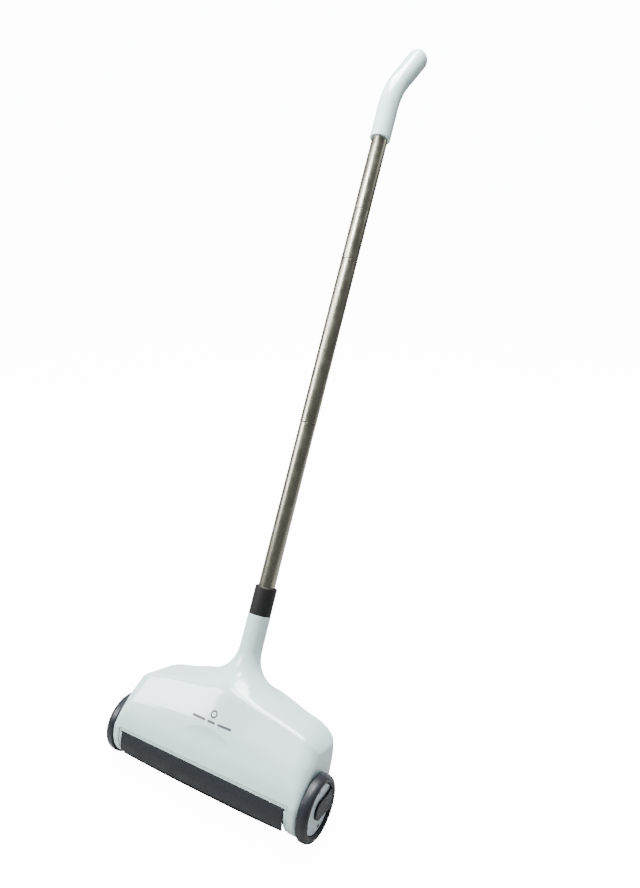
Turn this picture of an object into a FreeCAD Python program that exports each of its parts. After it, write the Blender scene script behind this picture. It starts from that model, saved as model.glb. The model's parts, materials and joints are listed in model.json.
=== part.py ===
import math
import os
from types import SimpleNamespace

import FreeCAD
import Part
import Sketcher
from FreeCAD import Placement, Rotation, Vector

# Push-along carpet sweeper, in millimetres.
#
# Every piece is drawn in the sweeper's own upright frame: +X runs along the head, +Y to the rear,
# +Z up the pole, with the origin on the wheels' axis midway between them. The finished pieces all
# get one placement, LEAN, which tips the sweeper back about that axis and lifts it so that its
# wheels stand on Z = 0. The part's own origin is then on the floor, under the middle of the axle.

SIZES = {
    # stance
    "lean_angle": 30,
    # head, measured from the middle of the axle
    "shell_half": 150.5,
    "wall": 2.6,
    "front_face": 46.0,
    "rear_face": 46.0,
    "front_sill": 4.0,
    "ridge_back": 22.0,
    "ridge_up": 97.0,
    "crown_back": 33.0,
    "crown_up": 114.5,
    "rear_break_back": 43.0,
    "rear_break_up": 107.0,
    "shoulder_up": 86.0,
    "hip_rad": 39.5,
    "front_cut": -66.0,
    "rear_cut": -163.0,
    "cheek_inner": 133.6,
    # neck and pole
    "pole_back": 18.5,
    "neck_rad": 16.3,
    "neck_low": 92.0,
    "neck_flare_rad": 46.0,
    "neck_flare_up": 118.0,
    "neck_waist": 152.0,
    "throat_rad": 9.0,
    "neck_top": 203.0,
    "socket_rad": 13.4,
    "socket_low": 112.0,
    "tube_rad": 12.5,
    "lower_tube_rad": 12.2,
    "tube_wall": 1.2,
    "tube_foot": 122.0,
    "seam_low": 486.2,
    "seam_mid": 740.3,
    "seam_high": 820.9,
    "seam_gap": 0.9,
    "tube_end": 984.0,
    "plug_half": 24.0,
    "collar_rad": 16.1,
    "collar_top": 243.4,
    # grip
    "grip_rad": 16.0,
    "grip_low": 939.0,
    "grip_bend_up": 990.0,
    "grip_bend_rad": 110.0,
    "grip_angle": 31.0,
    "grip_reach": 81.0,
    "hang_rad": 3.0,
    "hang_depth": 14.0,
    # wheels, along X from the middle of the head
    "wheel_rad": 42.5,
    "wheel_in": 151.3,
    "wheel_out": 165.5,
    "rim_rad": 40.0,
    "hub_rim_rad": 38.0,
    "web_in": 157.6,
    "face_at": 160.4,
    "inlay_rad": 31.6,
    "inlay_thick": 0.9,
    "lever_tip_rad": 12.5,
    "lever_reach": 31.0,
    "lever_thick": 3.2,
    "lever_rise": 18.0,
    "post_rad": 8.5,
    "post_bore": 6.0,
    "post_long": 3.0,
    # axle and drive
    "axle_rad": 3.0,
    "axle_end": 162.0,
    "clip_thick": 0.6,
    "clip_gap": 0.35,
    "clip_groove": 0.6,
    "clip_width": 2.2,
    "barrel_rad": 20.0,
    "drive_rad": 28.0,
    "running": 0.05,
    "air": 0.4,
    "sleeve_rad": 8.95,
    "spigot_rad": 5.5,
    "gear_in": 152.5,
    "gear_wide": 4.4,
    "gear_module": 1.5,
    "sun_teeth": 15,
    "planet_teeth": 15,
    "ring_teeth": 45,
    "tooth_head": 1.2,
    "ring_head": 1.0,
    "tooth_foot": 1.65,
    "backlash": 0.15,
    # brush
    "core_rad": 13.0,
    "core_wall": 2.4,
    "core_half": 131.6,
    "bristle_rad": 41.6,
    "bristle_half": 130.0,
    "bristle_rows": 6,
    "bristle_thick": 7.0,
    # dust door, hood and bin
    "chamber_rad": 42.9,
    "door_thick": 1.5,
    "door_half": 133.1,
    "door_top": 0.5,
    "door_bottom": -41.0,
    "door_bow": 1.6,
    "lip_bow": 6.0,
    "door_pin_rad": 1.2,
    "door_pin_long": 2.4,
    "lip_rad": 42.0,
    "lip_thick": 0.8,
    "lip_top": -20.0,
    "lip_bottom": -61.0,
    "lip_half": 131.5,
    "hood_thick": 1.8,
    "hood_front": 46.0,
    "hood_rear": 150.0,
    "bin_wall": 1.8,
    "bin_front_low": 29.0,
    "bin_front_high": 18.0,
    "bin_rear": 36.0,
    "bin_top": 80.0,
    "bin_half": 124.0,
    # rear cover and its screws
    "cover_half": 124.0,
    "cover_low": 8.0,
    "cover_high": 58.0,
    "cover_lap": 7.0,
    "cover_proud": 0.4,
    "screw_inset": 4.0,
    "screw_rad": 1.5,
    "screw_long": 5.0,
    "screw_head_rad": 3.2,
    "screw_head_high": 1.4,
}

SIDES = {"left": -1, "right": 1}

doc = FreeCAD.newDocument("carpet_sweeper")
sheet = doc.addObject("Spreadsheet::Sheet", "dims")
for row, (alias, number) in enumerate(SIZES.items(), start=1):
    sheet.set(f"A{row}", alias)
    sheet.set(f"B{row}", str(number))
    sheet.setAlias(f"B{row}", alias)
doc.recompute()


class Size:
    """A number together with the sheet formula that gives it."""

    def __init__(self, value, text=None):
        self.value = float(value)
        self.text = text or f"({self.value})"

    @staticmethod
    def of(other):
        return other if isinstance(other, Size) else Size(other)

    def __add__(self, other):
        other = Size.of(other)
        return Size(self.value + other.value, f"({self.text} + {other.text})")

    def __sub__(self, other):
        other = Size.of(other)
        return Size(self.value - other.value, f"({self.text} - {other.text})")

    def __mul__(self, other):
        other = Size.of(other)
        return Size(self.value * other.value, f"({self.text} * {other.text})")

    def __truediv__(self, other):
        other = Size.of(other)
        return Size(self.value / other.value, f"({self.text} / {other.text})")

    def __neg__(self):
        return Size(-self.value, f"(0 - {self.text})")

    def __rsub__(self, other):
        return Size.of(other) - self

    __radd__ = __add__
    __rmul__ = __mul__


d = SimpleNamespace(**{alias: Size(number, f"dims.{alias}") for alias, number in SIZES.items()})
LEAN = Placement(Vector(0, 0, SIZES["wheel_rad"]), Rotation(Vector(1, 0, 0), -SIZES["lean_angle"]))
subparts = []


def cosine(angle):
    angle = Size.of(angle)
    return Size(math.cos(math.radians(angle.value)), f"cos({angle.text} * 1 deg)")


def sine(angle):
    angle = Size.of(angle)
    return Size(math.sin(math.radians(angle.value)), f"sin({angle.text} * 1 deg)")


def bind(piece, prop, size):
    piece.setExpression(prop, Size.of(size).text)


def finish(piece, label, offset=(0, 0, 0)):
    """Name a sub-part and stand it in its place; offset moves it in the upright frame first."""
    piece.Label = label
    piece.Placement = LEAN * Placement(Vector(*offset), Rotation())
    subparts.append(piece)
    return piece


# --- primitives and booleans ---------------------------------------------------------------------

TURN = {"X": Rotation(Vector(0, 1, 0), 90), "Y": Rotation(Vector(1, 0, 0), -90), "Z": Rotation()}


def placed(kind, name, sizes, at, along="Z"):
    piece = doc.addObject("Part::" + kind, name)
    piece.Placement = Placement(Vector(), TURN[along])
    for prop, size in sizes.items():
        bind(piece, prop, size)
    for axis, size in zip("xyz", at):
        bind(piece, f"Placement.Base.{axis}", size)
    return piece


def box(name, x, y, z):
    """A box between two sizes on each axis."""
    spans = {"Length": x[1] - x[0], "Width": y[1] - y[0], "Height": z[1] - z[0]}
    return placed("Box", name, spans, (x[0], y[0], z[0]))


def rod(name, radius, along, start, end, across=(0, 0)):
    """A cylinder along an axis from start to end; across gives its other two coordinates."""
    at = list(across)
    at.insert("XYZ".index(along), start)
    return placed("Cylinder", name, {"Radius": radius, "Height": Size.of(end) - start}, at, along)


def rod_x(name, radius, low, high, side=1, across=(0, 0)):
    """A cylinder on one side of the head, between two distances from the middle."""
    near, far = (low, high) if side > 0 else (-Size.of(high), -Size.of(low))
    return rod(name, radius, "X", near, far, across)


def cut(name, base, tool):
    piece = doc.addObject("Part::Cut", name)
    piece.Base = base
    piece.Tool = tool
    return piece


def fuse(name, *pieces):
    piece = doc.addObject("Part::MultiFuse", name)
    piece.Shapes = list(pieces)
    return piece


def common(name, first, second):
    piece = doc.addObject("Part::Common", name)
    piece.Base = first
    piece.Tool = second
    return piece


def group(name, pieces):
    piece = doc.addObject("Part::Compound", name)
    piece.Links = list(pieces)
    return piece


# --- bodies from sketches ------------------------------------------------------------------------


def draw(body, name, role, corners):
    """A closed sketch of straight edges through corners, each bound to the sheet."""
    sketch = body.newObject("Sketcher::SketchObject", name)
    plane = next(item for item in body.Origin.OriginFeatures if item.Role == role)
    sketch.AttachmentSupport = [(plane, "")]
    sketch.MapMode = "FlatFace"
    corners = [(Size.of(across), Size.of(up)) for across, up in corners]
    spots = [Vector(across.value, up.value, 0) for across, up in corners]
    count = len(corners)
    for index, spot in enumerate(spots):
        sketch.addGeometry(Part.LineSegment(spot, spots[(index + 1) % count]), False)
    for index, (across, up) in enumerate(corners):
        sketch.addConstraint(Sketcher.Constraint("Coincident", index, 2, (index + 1) % count, 1))
        for kind, size in (("DistanceX", across), ("DistanceY", up)):
            number = sketch.addConstraint(Sketcher.Constraint(kind, -1, 1, index, 1, size.value))
            bind(sketch, f"Constraints[{number}]", size)
    return sketch


def new_body(name):
    return doc.addObject("PartDesign::Body", name)


def turned(name, corners, about="X"):
    """A body turned about the X or Z axis from corners given as (along, radius)."""
    body = new_body(name)
    if about == "Z":
        corners = [(radius, along) for along, radius in corners]
    sketch = draw(body, name + "_outline", "XZ_Plane", corners)
    turn = body.newObject("PartDesign::Revolution", name + "_turn")
    turn.Profile = sketch
    turn.ReferenceAxis = (sketch, ["H_Axis" if about == "X" else "V_Axis"])
    turn.Angle = 360
    return body


def padded(name, role, corners, length):
    """A body padded to both sides of a plane from an outline."""
    body = new_body(name)
    sketch = draw(body, name + "_outline", role, corners)
    pad = body.newObject("PartDesign::Pad", name + "_pad")
    pad.Profile = sketch
    pad.Midplane = True
    bind(pad, "Length", length)
    return body


def front_polar(radius, angle):
    """A point of the side view at an angle above the forward direction."""
    return (-(radius * cosine(angle)), radius * sine(angle))


# --- head shell ----------------------------------------------------------------------------------


def dome(name, inset):
    """The head's domed form: its side view along X, trimmed to its front view along Y."""
    back, front = d.rear_face - inset, d.front_face - inset
    side = padded(name + "_side", "YZ_Plane", [
        (-front, d.front_sill), (-(front - 1), 20),
        (-(d.ridge_back - inset * 0.6), d.ridge_up - inset), (d.crown_back, d.crown_up - inset),
        (d.rear_break_back - inset, d.rear_break_up - inset), (back, d.shoulder_up), (back, 0),
        front_polar(back, d.rear_cut), (0, 0), front_polar(d.hip_rad - inset, d.front_cut),
        front_polar(d.hip_rad + 1.2 - inset, -50), front_polar(d.hip_rad + 2.5 - inset, -34),
        front_polar(d.hip_rad + 3.9 - inset, -16),
    ], (d.shell_half - inset) * 2)
    half = d.shell_half - inset
    right = [(half, -60), (half, 56), (half - 6, 79 - inset), (half - 24, 93 - inset),
             (half - 52, 103.5 - inset), (half - 100, 112.5 - inset)]
    left = [(-Size.of(across), up) for across, up in reversed(right)]
    view = padded(name + "_front", "XZ_Plane", right + left, d.rear_face * 3)
    return common(name, side, view)


def make_main_housing():
    """White shell: dome, flared neck, closed cheeks at both ends, open mouth and windows."""
    hips = rod("hips", d.hip_rad, "X", -d.shell_half, d.shell_half)
    flare_up = d.neck_flare_up
    flare = turned("neck_form", [
        (d.neck_low, 0), (d.neck_low, d.neck_flare_rad - 8), (flare_up - 10, d.neck_flare_rad),
        (flare_up, d.neck_flare_rad - 2), (flare_up + 4, d.neck_rad + 19.5),
        (flare_up + 11, d.neck_rad + 12.5), (flare_up + 21, d.neck_rad + 6.5),
        (d.neck_waist, d.neck_rad + 1.5), (d.neck_waist + 15, d.neck_rad),
        (d.neck_top, d.neck_rad), (d.neck_top, 0),
    ], "Z")
    flare.Placement = Placement(Vector(0, SIZES["pole_back"], 0), Rotation())
    trim = box("neck_trim", (-70, 70), (-d.ridge_back, d.rear_face), (80, d.neck_top + 1))
    outside = fuse("shell_outside", dome("dome_outside", 0), hips, common("neck_flare", flare, trim))

    # the hollow between the cheeks, and the hollow of each cheek
    middle = box("between_cheeks", (-d.cheek_inner, d.cheek_inner), (-60, 60), (-60, 120))
    hollow_form = dome("dome_inside", d.wall)
    brush_room = rod("brush_room", d.chamber_rad + 0.6, "X", -d.cheek_inner, d.cheek_inner)
    hollow = fuse("hollow", common("hollow_middle", hollow_form, middle), brush_room)
    cheeks = []
    for side_name, side in SIDES.items():
        low, high = d.cheek_inner + d.wall, d.shell_half - d.wall
        span = (low, high) if side > 0 else (-high, -low)
        room = box(f"cheek_room_{side_name}", span, (-60, 60), (-60, 120))
        hip = rod_x(f"cheek_hip_{side_name}", d.hip_rad - d.wall, low, high, side)
        fill = fuse(f"cheek_fill_{side_name}", hip, dome(f"cheek_dome_{side_name}", d.wall))
        cheeks.append(common(f"cheek_hollow_{side_name}", fill, room))
    # the floor side is open between the front and rear cuts, seen from the side
    mouth = padded("mouth", "YZ_Plane", [
        (0, 0), front_polar(90, d.front_cut), (0, -90), front_polar(90, d.rear_cut),
    ], d.shell_half * 2 + 2)
    # the front window that the dust door fills, and the rear one under the cover
    window = box("door_window", (-d.cheek_inner, d.cheek_inner), (-70, 0), (-60, d.front_sill))
    window_half = d.cover_half - d.cover_lap
    rear = box("cover_window", (-window_half, window_half), (20, 70),
               (d.cover_low + d.cover_lap, d.cover_high - d.cover_lap))
    seat = box("cover_seat", (-d.cover_half - d.air, d.cover_half + d.air),
               (d.rear_face - d.wall / 2, 70), (d.cover_low - d.air, d.cover_high + d.air))
    bore = rod("neck_bore", d.socket_rad, "Z", d.socket_low, d.neck_top + 1, (0, d.pole_back))
    throat = rod("neck_throat", d.throat_rad, "Z", 60, d.socket_low + 1, (0, d.pole_back))
    bearings = rod("bearing_seat", d.barrel_rad, "X", -(d.shell_half - 1), d.shell_half - 1)
    pins = rod("door_pin_holes", d.door_pin_rad + d.running, "X",
               -(d.door_half + d.door_pin_long + d.air), d.door_half + d.door_pin_long + d.air,
               front_polar(d.chamber_rad + d.door_thick / 2, d.door_top))
    ends = [rod_x(f"drive_hole_{name}", d.drive_rad, d.shell_half - d.wall - 1, d.shell_half + 1, side)
            for name, side in SIDES.items()]
    screws = [rod(f"cover_hole_{number}", d.screw_rad, "Y", 30, 70, place)
              for number, place in enumerate(screw_places())]
    tools = fuse("shell_tools", hollow, *cheeks, mouth, window, rear, seat, bore, throat, bearings,
                 pins, *ends, *screws)
    finish(cut("main_housing", outside, tools), "main_housing")


def screw_places():
    """Where the rear cover's screws go, as (X, Z)."""
    across = d.cover_half - d.screw_inset
    return [(side * across, up) for side in (-1, 1)
            for up in (d.cover_low + d.screw_inset, d.cover_high - d.screw_inset)]


def make_rear_cover():
    """Flat cover let into the rear wall, with a raised inner face that fills the window."""
    low, high = d.rear_face - d.wall / 2, d.rear_face + d.cover_proud
    margin = d.cover_lap + d.air
    plug_half = d.cover_half - margin
    panel = box("cover_panel", (-d.cover_half, d.cover_half), (low, high), (d.cover_low, d.cover_high))
    plug = box("cover_plug", (-plug_half, plug_half), (low - 3, low + 0.1),
               (d.cover_low + margin, d.cover_high - margin))
    holes = [rod(f"cover_bore_{number}", d.screw_rad, "Y", 30, 70, place)
             for number, place in enumerate(screw_places())]
    finish(cut("rear_cover", fuse("cover_solid", panel, plug), fuse("cover_bores", *holes)), "rear_cover")


def make_cover_screws():
    """Four slotted screws."""
    face = d.rear_face + d.cover_proud
    screws = []
    for number, place in enumerate(screw_places()):
        shank = rod(f"shank_{number}", d.screw_rad, "Y", face - d.screw_long, face, place)
        head = rod(f"head_{number}", d.screw_head_rad, "Y", face, face + d.screw_head_high, place)
        slot = box(f"slot_{number}", (place[0] - 2.4, place[0] + 2.4),
                   (face + d.screw_head_high - 0.6, face + 2), (place[1] - 0.35, place[1] + 0.35))
        screws.append(cut(f"cover_screw_{number}", fuse(f"screw_{number}", shank, head), slot))
    finish(group("cover_screws", screws), "cover_screws")


def make_bearings():
    """Blocks between each cheek's two walls: one carries the brush sleeve, the other grips the axle."""
    for side_name, side in SIDES.items():
        low, high = d.cheek_inner + d.wall, d.shell_half - d.wall
        bore = d.sleeve_rad + d.running if side < 0 else d.axle_rad
        inner = rod_x(f"barrel_{side_name}", d.barrel_rad, d.cheek_inner, low + 1, side)
        flange = rod_x(f"flange_{side_name}", d.drive_rad + 3, low, high, side)
        face = rod_x(f"drive_face_{side_name}", d.drive_rad, high - 1, d.shell_half - 0.4, side)
        hole = rod_x(f"block_bore_{side_name}", bore, d.cheek_inner - 1, d.shell_half + 1, side)
        block = cut(f"block_{side_name}", fuse(f"block_solid_{side_name}", inner, flange, face), hole)
        finish(block, f"bearing_{side_name}")


def planet_centres():
    reach = d.gear_module * (d.sun_teeth + d.planet_teeth) / 2
    return [reach, -reach]


def make_planet_pins():
    """Shouldered steel pins that the planet gears run on, standing out of the left bearing."""
    seat = d.shell_half - 0.4
    pins = []
    for number, across in enumerate(planet_centres()):
        shank = rod_x(f"pin_shank_{number}", d.axle_rad, seat, d.gear_in + d.gear_wide + 0.2, -1,
                      (across, 0))
        foot = rod_x(f"pin_foot_{number}", d.axle_rad + 1.5, seat, d.gear_in - 0.3, -1, (across, 0))
        pins.append(fuse(f"planet_pin_{number}", shank, foot))
    finish(group("planet_pins", pins), "planet_pins")


# --- axle, wheels and drive ----------------------------------------------------------------------


def ring_x(name, outer, inner, low, high, side):
    """A flat ring on one side of the head."""
    return cut(name, rod_x(name + "_outer", outer, low, high, side),
               rod_x(name + "_inner", inner, low - 1, high + 1, side))


def make_axle():
    """Fixed axle, with a groove near each end for its clip."""
    rod_solid = rod("axle_rod", d.axle_rad, "X", -d.axle_end, d.axle_end)
    low = d.face_at + d.clip_gap - d.running
    high = d.face_at + d.clip_gap + d.clip_thick + d.running
    grooves = [ring_x(f"clip_groove_{side_name}", d.axle_rad + 1, d.axle_rad - d.clip_groove,
                      low, high, side)
               for side_name, side in SIDES.items()]
    finish(cut("axle", rod_solid, fuse("clip_grooves", *grooves)), "axle")


def make_axle_clips():
    low = d.face_at + d.clip_gap
    clips = [ring_x(f"clip_{side_name}", d.axle_rad + d.clip_width, d.axle_rad - d.clip_groove,
                    low, low + d.clip_thick, side)
             for side_name, side in SIDES.items()]
    finish(group("axle_clips", clips), "axle_clips")


def make_wheel(side_name, side):
    """A wheel: hub with a web, soft tyre that wraps over its face, and a silver inlay."""
    hub_back = d.wheel_in + 0.4
    hub = turned(f"hub_form_{side_name}", [(side * along, radius) for along, radius in (
        (d.web_in, d.axle_rad + d.running), (d.web_in, d.hub_rim_rad), (hub_back, d.hub_rim_rad),
        (hub_back, d.rim_rad), (d.face_at, d.rim_rad), (d.face_at, d.axle_rad + d.running),
    )])
    post = ring_x(f"hub_post_{side_name}", d.post_rad, d.post_bore, d.face_at,
                  d.face_at + d.post_long, side)
    finish(fuse(f"wheel_hub_{side_name}", hub, post), f"wheel_hub_{side_name}")
    tyre = turned(f"tyre_{side_name}", [(side * along, radius) for along, radius in (
        (d.wheel_in, d.rim_rad), (d.wheel_in, d.wheel_rad - 0.9), (d.wheel_in + 1.1, d.wheel_rad),
        (d.wheel_out - 7, d.wheel_rad), (d.wheel_out - 2.9, d.wheel_rad - 1.1),
        (d.wheel_out - 0.5, d.wheel_rad - 3.6), (d.wheel_out, d.wheel_rad - 5.9),
        (d.wheel_out - 0.7, d.wheel_rad - 7.9), (d.face_at + 1.4, d.inlay_rad + 0.4),
        (d.face_at, d.inlay_rad + 0.4), (d.face_at, d.rim_rad),
    )])
    finish(tyre, f"tyre_{side_name}")
    inlay = ring_x(f"inlay_{side_name}", d.inlay_rad, d.post_rad, d.face_at,
                   d.face_at + d.inlay_thick, side)
    finish(inlay, f"inlay_{side_name}")


def make_hub_cap():
    """Round cap that closes the left wheel over the axle's end."""
    start = d.face_at + d.inlay_thick
    cap = turned("hub_cap_form", [(-along, radius) for along, radius in (
        (start, 0), (start, d.lever_tip_rad), (start + 1.9, d.lever_tip_rad),
        (start + d.lever_thick, d.lever_tip_rad - 2.2), (start + d.lever_thick, 0),
    )])
    post = rod_x("cap_post_bore", d.post_rad, start - 1, d.face_at + d.post_long, -1)
    finish(cut("hub_cap", cap, post), "hub_cap_left")


def make_latch_lever():
    """Lever on the right wheel's face that widens towards the rim and turns on the hub's post."""
    start = d.face_at + d.inlay_thick + 0.3
    body = new_body("lever_form")
    reach, tip = d.lever_reach, d.lever_tip_rad
    turn, rise = cosine(d.lever_rise), sine(d.lever_rise)
    half_outline = [(0, tip), (reach * 0.84, tip + 3.0), (reach * 0.97, tip - 3.5), (reach, 0)]
    outline = half_outline + [(out, -Size.of(across)) for out, across in reversed(half_outline[:-1])]
    sketch = draw(body, "lever_outline", "YZ_Plane",
                  [(out * turn - across * rise, out * rise + across * turn) for out, across in outline])
    pad = body.newObject("PartDesign::Pad", "lever_pad")
    pad.Profile = sketch
    bind(pad, "Length", d.lever_thick)
    body.setExpression("Placement.Base.x", start.text)
    head = rod_x("lever_head", tip, start, start + d.lever_thick)
    bore = rod_x("lever_bore", d.post_rad + d.running, start - 1, d.face_at + d.post_long + 0.3)
    finish(cut("latch_lever", fuse("lever_solid", body, head), bore), "latch_lever")


def gear_wire(x, teeth, root, tip, widen=0.0, steps=5):
    """An involute gear's outline at x, with the middle of one tooth towards +Y.

    widen is added to each tooth's thickness at the pitch circle.
    """
    module, pressure = SIZES["gear_module"], math.radians(20)
    pitch = module * teeth / 2
    base = pitch * math.cos(pressure)

    def involute(radius):
        slope = math.acos(min(1.0, base / radius))
        return math.tan(slope) - slope

    half = math.pi / (2 * teeth) + widen / (2 * pitch) + involute(pitch)
    flank = [root + (tip - root) * step / steps for step in range(steps + 1)]
    spots = []
    for tooth in range(teeth):
        middle = 2 * math.pi * tooth / teeth
        rising = [(radius, middle - half + involute(max(radius, base))) for radius in flank]
        falling = [(radius, 2 * middle - angle) for radius, angle in reversed(rising)]
        spots += rising + falling
    points = [Vector(x, radius * math.cos(angle), radius * math.sin(angle)) for radius, angle in spots]
    return Part.Wire(Part.makePolygon(points + points[:1]))


def gear_blank(teeth, root, tip, widen, grow=0.0):
    start = -(SIZES["gear_in"] - grow)
    face = Part.Face(gear_wire(start, teeth, root, tip, widen))
    return face.extrude(Vector(-(SIZES["gear_wide"] + 2 * grow), 0, 0))


def toothed(name, shape):
    piece = doc.addObject("Part::Feature", name)
    piece.Shape = shape.removeSplitter()
    return piece


def make_gears():
    """Sun on the brush, two planets on fixed pins, and a ring inside the left wheel."""
    module, backlash = SIZES["gear_module"], SIZES["backlash"]
    foot, head = SIZES["tooth_foot"], SIZES["tooth_head"]
    ring_pitch = module * SIZES["ring_teeth"] / 2
    pinion_pitch = module * SIZES["sun_teeth"] / 2
    pinion = gear_blank(SIZES["sun_teeth"], pinion_pitch - foot, pinion_pitch + head, -backlash)
    bore_start = Vector(-SIZES["gear_in"] + 1, 0, 0)
    for name, radius in (("sun", SIZES["spigot_rad"]), ("planet", SIZES["axle_rad"] + SIZES["running"])):
        bore = Part.makeCylinder(radius, SIZES["gear_wide"] + 2, bore_start, Vector(-1, 0, 0))
        if name == "sun":
            finish(toothed("sun_gear", pinion.cut(bore)), "sun_gear")
            continue
        for number, across in enumerate(planet_centres()):
            gear = toothed(f"planet_gear_{'ab'[number]}", pinion.cut(bore))
            finish(gear, f"planet_gear_{'ab'[number]}", (0, across.value, 0))
    space = gear_blank(SIZES["ring_teeth"], ring_pitch - SIZES["ring_head"], ring_pitch + foot,
                       backlash, 1.0)
    rim = Part.makeCylinder(SIZES["hub_rim_rad"], SIZES["gear_wide"] + 0.6,
                            Vector(-SIZES["gear_in"], 0, 0), Vector(-1, 0, 0))
    finish(toothed("ring_gear", rim.cut(space)), "ring_gear")


# --- brush ---------------------------------------------------------------------------------------


def make_brush():
    """Roller: a tube with end caps, a drive sleeve to the left, bushes, and rows of bristles."""
    inner = d.core_rad - d.core_wall
    tube = turned("brush_core", [
        (-d.core_half, inner), (-d.core_half, d.core_rad), (d.core_half, d.core_rad),
        (d.core_half, inner),
    ])
    finish(tube, "brush_core")
    bore = d.axle_rad + d.running
    left = turned("brush_drive_cap", [(-along, radius) for along, radius in (
        (d.core_half - 14, bore), (d.core_half - 14, inner), (d.core_half, inner),
        (d.core_half, d.core_rad), (d.core_half + 1.2, d.core_rad), (d.core_half + 1.2, d.sleeve_rad),
        (d.gear_in - 0.6, d.sleeve_rad), (d.gear_in - 0.6, d.spigot_rad),
        (d.gear_in + d.gear_wide, d.spigot_rad), (d.gear_in + d.gear_wide, bore),
    )])
    finish(left, "brush_drive_cap")
    right = turned("brush_end_cap", [
        (d.core_half - 14, bore), (d.core_half - 14, inner), (d.core_half, inner),
        (d.core_half, d.core_rad), (d.core_half + 1.2, d.core_rad), (d.core_half + 1.2, bore),
    ])
    finish(right, "brush_end_cap")

    body = new_body("bristle_form")
    half = d.bristle_thick / 2
    sketch = draw(body, "bristle_outline", "YZ_Plane", [
        (-half * 0.6, d.core_rad - 0.5), (-half, d.bristle_rad - 0.3), (0, d.bristle_rad),
        (half, d.bristle_rad - 0.3), (half * 0.6, d.core_rad - 0.5),
    ])
    pad = body.newObject("PartDesign::Pad", "bristle_pad")
    pad.Profile = sketch
    pad.Midplane = True
    bind(pad, "Length", d.bristle_half * 2)
    doc.recompute()
    axis = next(item for item in body.Origin.OriginFeatures if item.Role == "X_Axis")
    rows = body.newObject("PartDesign::PolarPattern", "bristle_pattern")
    rows.Originals = [pad]
    rows.Axis = (axis, [""])
    rows.Angle = 360
    bind(rows, "Occurrences", d.bristle_rows)
    band = ring_x("bristle_base", d.core_rad + 1.2, d.core_rad, -d.bristle_half, d.bristle_half, 1)
    body.Tip = rows
    core = rod("bristle_core_space", d.core_rad, "X", -d.core_half, d.core_half)
    solid = fuse("bristle_solid", body, band)
    finish(cut("bristles", solid, core), "bristles")


# --- dust door, hood and bin ---------------------------------------------------------------------


def arc_plate(name, inner, thick, low_angle, high_angle, half):
    """A plate curved about the axle between two angles above the forward direction."""
    shell = cut(name + "_shell", rod(name + "_outer", inner + thick, "X", -half, half),
                rod(name + "_inner", inner, "X", -half - 1, half + 1))
    far = 90
    middle = (low_angle + high_angle) / 2
    wedge = padded(name + "_wedge", "YZ_Plane", [
        (0, 0), front_polar(far, low_angle), front_polar(far * 1.3, middle),
        front_polar(far, high_angle),
    ], half * 2 + 4)
    return common(name, shell, wedge)


def bowed(name, plate, lowest, bow):
    """A plate whose lower edge rises by the bow from its middle to the door's ends."""
    bow_rad = (d.door_half * d.door_half + bow * bow) / (2 * bow)
    keep = rod(name + "_keep", bow_rad, "Y", -80, 0, (0, lowest + bow_rad))
    return common(name, plate, keep)


def make_dust_door():
    """Curved door in front of the brush, on a stub pin at each top corner, with a bowed lower edge."""
    plate = arc_plate("door_plate", d.chamber_rad, d.door_thick, d.door_bottom, d.door_top, d.door_half)
    lowest = (d.chamber_rad + d.door_thick) * sine(d.door_bottom)
    plate = bowed("door_bowed", plate, lowest, d.door_bow)
    pin_at = front_polar(d.chamber_rad + d.door_thick / 2, d.door_top)
    pins = [rod_x(f"door_pin_{name}", d.door_pin_rad, d.door_half - 3, d.door_half + d.door_pin_long,
                  side, pin_at) for name, side in SIDES.items()]
    finish(fuse("dust_door", plate, *pins), "dust_door")


def make_front_lip():
    """Rubber lip bonded inside the door; it hangs below the door, most in the middle."""
    strip = arc_plate("lip_strip", d.lip_rad, d.lip_thick, d.lip_bottom, d.lip_top, d.lip_half)
    lowest = (d.lip_rad + d.lip_thick) * sine(d.lip_bottom)
    finish(bowed("front_lip", strip, lowest, d.lip_bow), "front_lip")


def make_brush_hood():
    plate = arc_plate("brush_hood", d.chamber_rad, d.hood_thick, d.hood_front, d.hood_rear,
                      d.cheek_inner)
    finish(plate, "brush_hood")


def make_dust_bin():
    """Open-topped bin that sits on the hood, over the brush."""

    def tray(name, inset, low, high):
        return padded(name, "YZ_Plane", [
            (-(d.bin_front_low - inset), low), (-(d.bin_front_high - inset), high),
            (d.bin_rear - inset, high), (d.bin_rear - inset, low),
        ], (d.bin_half - inset) * 2)

    floor = d.chamber_rad * 0.5
    walls = cut("bin_walls", tray("bin_outer", 0, floor, d.bin_top),
                tray("bin_inner", d.bin_wall, floor - 1, d.bin_top + 1))
    under = rod("bin_under", d.chamber_rad + d.hood_thick, "X", -d.bin_half - 1, d.bin_half + 1)
    finish(cut("dust_bin", walls, under), "dust_bin")


def make_rear_lip():
    """Rubber lip behind the brush, bonded inside the shell's rear edge."""
    lip = arc_plate("rear_lip", d.chamber_rad, 0.6, d.rear_cut + 13, d.rear_cut - 12, d.cheek_inner)
    finish(lip, "rear_lip")


# --- pole and grip -------------------------------------------------------------------------------


def on_pole(piece, label):
    return finish(piece, label, (0, SIZES["pole_back"], 0))


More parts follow.
